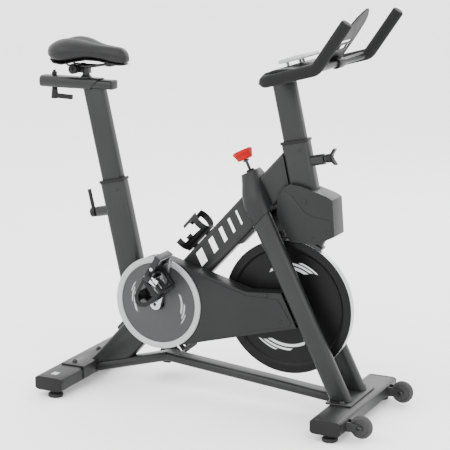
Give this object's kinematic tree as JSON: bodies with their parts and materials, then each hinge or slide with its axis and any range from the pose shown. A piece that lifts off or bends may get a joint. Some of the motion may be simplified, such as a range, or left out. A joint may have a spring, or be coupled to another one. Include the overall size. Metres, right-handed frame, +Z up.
{
  "type": "exercise bike",
  "caption": "Upright exercise bike with a belt-driven flywheel between fork legs, slanted sliding seat and handlebar posts, toe-cage pedals and a press-down brake knob.",
  "frame": {"origin": "on the floor under the middle of the bounding box", "axes": "+X forward in the riding direction, +Y to the rider's left, +Z up"},
  "size_m": [1.249, 0.5, 1.2914],
  "materials": {
    "frame_paint": "satin",
    "frame_plastic": "satin",
    "guard_plastic": "satin",
    "black_plastic": "matte",
    "grey_plastic": "satin",
    "display_plastic": "gloss",
    "silver_plastic": "satin",
    "steel": "satin",
    "crank_metal": "satin",
    "pedal_metal": "satin",
    "flywheel_iron": "satin",
    "red_plastic": "gloss",
    "grip_foam": "matte",
    "saddle_cover": "satin",
    "belt_rubber": "matte",
    "foot_rubber": "matte",
    "wheel_rubber": "matte"
  },
  "bodies": {
    "frame": {"stabiliser_rear": "frame_paint", "stabiliser_front": "frame_paint", "end_cap_rear_R": "black_plastic", "end_cap_rear_L": "black_plastic", "end_cap_front_R": "black_plastic", "end_cap_front_L": "black_plastic", "rear_bracket": "frame_paint", "base_tube": "frame_paint", "main_tube": "frame_paint", "seat_tube": "frame_paint", "seat_tube_bush": "black_plastic", "head_tube": "frame_paint", "head_tube_bush": "black_plastic", "fork_leg_R": "frame_paint", "fork_leg_L": "frame_paint", "fork_base_plate": "frame_paint", "fork_shroud": "frame_plastic", "resistance_housing": "frame_plastic", "guard_shell": "guard_plastic", "guard_back_plate": "guard_plastic", "guard_ring": "silver_plastic", "bottom_bracket_shell": "steel", "bottle_cage": "black_plastic", "flywheel_axle": "steel", "drive_belt": "belt_rubber"},
    "foot_rear_R": {"foot_rear_R": "foot_rubber"},
    "foot_rear_L": {"foot_rear_L": "foot_rubber"},
    "foot_front_R": {"foot_front_R": "foot_rubber"},
    "foot_front_L": {"foot_front_L": "foot_rubber"},
    "transport_wheel_R": {"transport_wheel_R": "wheel_rubber"},
    "transport_wheel_L": {"transport_wheel_L": "wheel_rubber"},
    "seat_post": {"seat_post": "frame_paint"},
    "saddle_slider": {"saddle_slider": "frame_paint"},
    "slider_lever": {"slider_lever": "black_plastic"},
    "saddle": {"saddle_clamp": "steel", "saddle_rails": "steel", "saddle_base": "black_plastic", "saddle_pad": "saddle_cover"},
    "seat_pin": {"seat_pin": "steel"},
    "seat_pin_handle": {"seat_pin_handle": "black_plastic"},
    "handlebar_pin": {"handlebar_pin": "steel"},
    "handlebar_pin_lever": {"handlebar_pin_lever": "black_plastic"},
    "handlebar_post": {"handlebar_post": "frame_paint", "handlebar": "frame_paint", "foam_sleeve_R": "grip_foam", "foam_sleeve_L": "grip_foam", "console_tray": "grey_plastic", "console_display": "display_plastic"},
    "tablet_holder": {"tablet_holder": "black_plastic"},
    "brake_rod": {"brake_rod": "steel"},
    "brake_knob": {"brake_knob": "red_plastic"},
    "magnet_carrier": {"magnet_carrier": "steel"},
    "crankset": {"crank_spindle_pulley": "steel", "crank_R": "crank_metal", "crank_L": "crank_metal"},
    "flywheel": {"flywheel": "flywheel_iron"},
    "pedal_R": {"pedal_R": "pedal_metal", "toe_cage_R": "black_plastic"},
    "pedal_L": {"pedal_L": "pedal_metal", "toe_cage_L": "black_plastic"}
  },
  "joints": [
    {"name": "foot_rear_R_screw", "type": "slide", "parent": "frame", "child": "foot_rear_R", "axis": [0, 0, -1], "range_m": [0, 0.008]},
    {"name": "foot_rear_L_screw", "type": "slide", "parent": "frame", "child": "foot_rear_L", "axis": [0, 0, -1], "range_m": [0, 0.008]},
    {"name": "foot_front_R_screw", "type": "slide", "parent": "frame", "child": "foot_front_R", "axis": [0, 0, -1], "range_m": [0, 0.008]},
    {"name": "foot_front_L_screw", "type": "slide", "parent": "frame", "child": "foot_front_L", "axis": [0, 0, -1], "range_m": [0, 0.008]},
    {"name": "transport_wheel_R_spin", "type": "hinge", "parent": "frame", "child": "transport_wheel_R", "pos_m": [0.58855, -0.184, 0.045], "axis": [0, 1, 0], "continuous": true},
    {"name": "transport_wheel_L_spin", "type": "hinge", "parent": "frame", "child": "transport_wheel_L", "pos_m": [0.58855, 0.184, 0.045], "axis": [0, 1, 0], "continuous": true},
    {"name": "seat_height", "type": "slide", "parent": "frame", "child": "seat_post", "axis": [-0.2164, 0, 0.9763], "range_m": [-0.185, 0.09]},
    {"name": "saddle_fore_aft", "type": "slide", "parent": "seat_post", "child": "saddle_slider", "axis": [1, 0, 0], "range_m": [-0.04, 0.035]},
    {"name": "slider_clamp_turn", "type": "hinge", "parent": "saddle_slider", "child": "slider_lever", "pos_m": [-0.58255, 0, 0.989], "axis": [0, 0, 1], "range_deg": [-100, 100]},
    {"name": "saddle_tilt", "type": "hinge", "parent": "saddle_slider", "child": "saddle", "pos_m": [-0.49155, 0, 1.055], "axis": [0, 1, 0], "range_deg": [-12, 12]},
    {"name": "seat_pin_pull", "type": "slide", "parent": "frame", "child": "seat_pin", "axis": [-0.9763, 0, -0.2164], "range_m": [0, 0.012], "stiffness_N_per_m": 900, "springref_m": -0.004},
    {"name": "seat_pin_handle_turn", "type": "hinge", "parent": "seat_pin", "child": "seat_pin_handle", "pos_m": [-0.43051, 0, 0.58052], "axis": [-0.9763, 0, -0.2164], "range_deg": [-120, 120]},
    {"name": "handlebar_pin_pull", "type": "slide", "parent": "frame", "child": "handlebar_pin", "axis": [0.9763, 0, 0.2164], "range_m": [0, 0.012], "stiffness_N_per_m": 900, "springref_m": -0.004},
    {"name": "handlebar_pin_lever_turn", "type": "hinge", "parent": "handlebar_pin", "child": "handlebar_pin_lever", "pos_m": [0.38758, 0, 0.82548], "axis": [0.9763, 0, 0.2164], "range_deg": [-90, 90]},
    {"name": "handlebar_height", "type": "slide", "parent": "frame", "child": "handlebar_post", "axis": [-0.2164, 0, 0.9763], "range_m": [-0.05, 0.05]},
    {"name": "tablet_holder_tilt", "type": "hinge", "parent": "handlebar_post", "child": "tablet_holder", "pos_m": [0.4218, 0, 1.12302], "axis": [0, 1, 0], "range_deg": [-8, 20]},
    {"name": "brake_press", "type": "slide", "parent": "frame", "child": "brake_rod", "axis": [0.4453, 0, -0.8954], "range_m": [0, 0.006], "stiffness_N_per_m": 2500, "springref_m": -0.006},
    {"name": "resistance_turn", "type": "hinge", "parent": "brake_rod", "child": "brake_knob", "pos_m": [0.10625, 0, 0.815], "axis": [-0.4453, 0, 0.8954], "range_deg": [0, 1080]},
    {"name": "magnet_lift", "type": "hinge", "parent": "frame", "child": "magnet_carrier", "pos_m": [0.39747, 0, 0.608], "axis": [0, 1, 0], "range_deg": [0, 5]},
    {"name": "crank_spin", "type": "hinge", "parent": "frame", "child": "crankset", "pos_m": [-0.16009, 0, 0.32], "axis": [0, 1, 0], "continuous": true},
    {"name": "flywheel_spin", "type": "hinge", "parent": "frame", "child": "flywheel", "pos_m": [0.26547, 0, 0.34], "axis": [0, 1, 0], "continuous": true},
    {"name": "pedal_R_spin", "type": "hinge", "parent": "crankset", "child": "pedal_R", "pos_m": [-0.11875, -0.16, 0.46419], "axis": [0, 1, 0], "continuous": true},
    {"name": "pedal_L_spin", "type": "hinge", "parent": "crankset", "child": "pedal_L", "pos_m": [-0.20144, 0.16, 0.17581], "axis": [0, 1, 0], "continuous": true}
  ],
  "couplings": [
    {"joint": "crank_spin", "follows": "flywheel_spin", "ratio": 0.27273},
    {"joint": "magnet_lift", "follows": "resistance_turn", "ratio": 0.0046296}
  ]
}
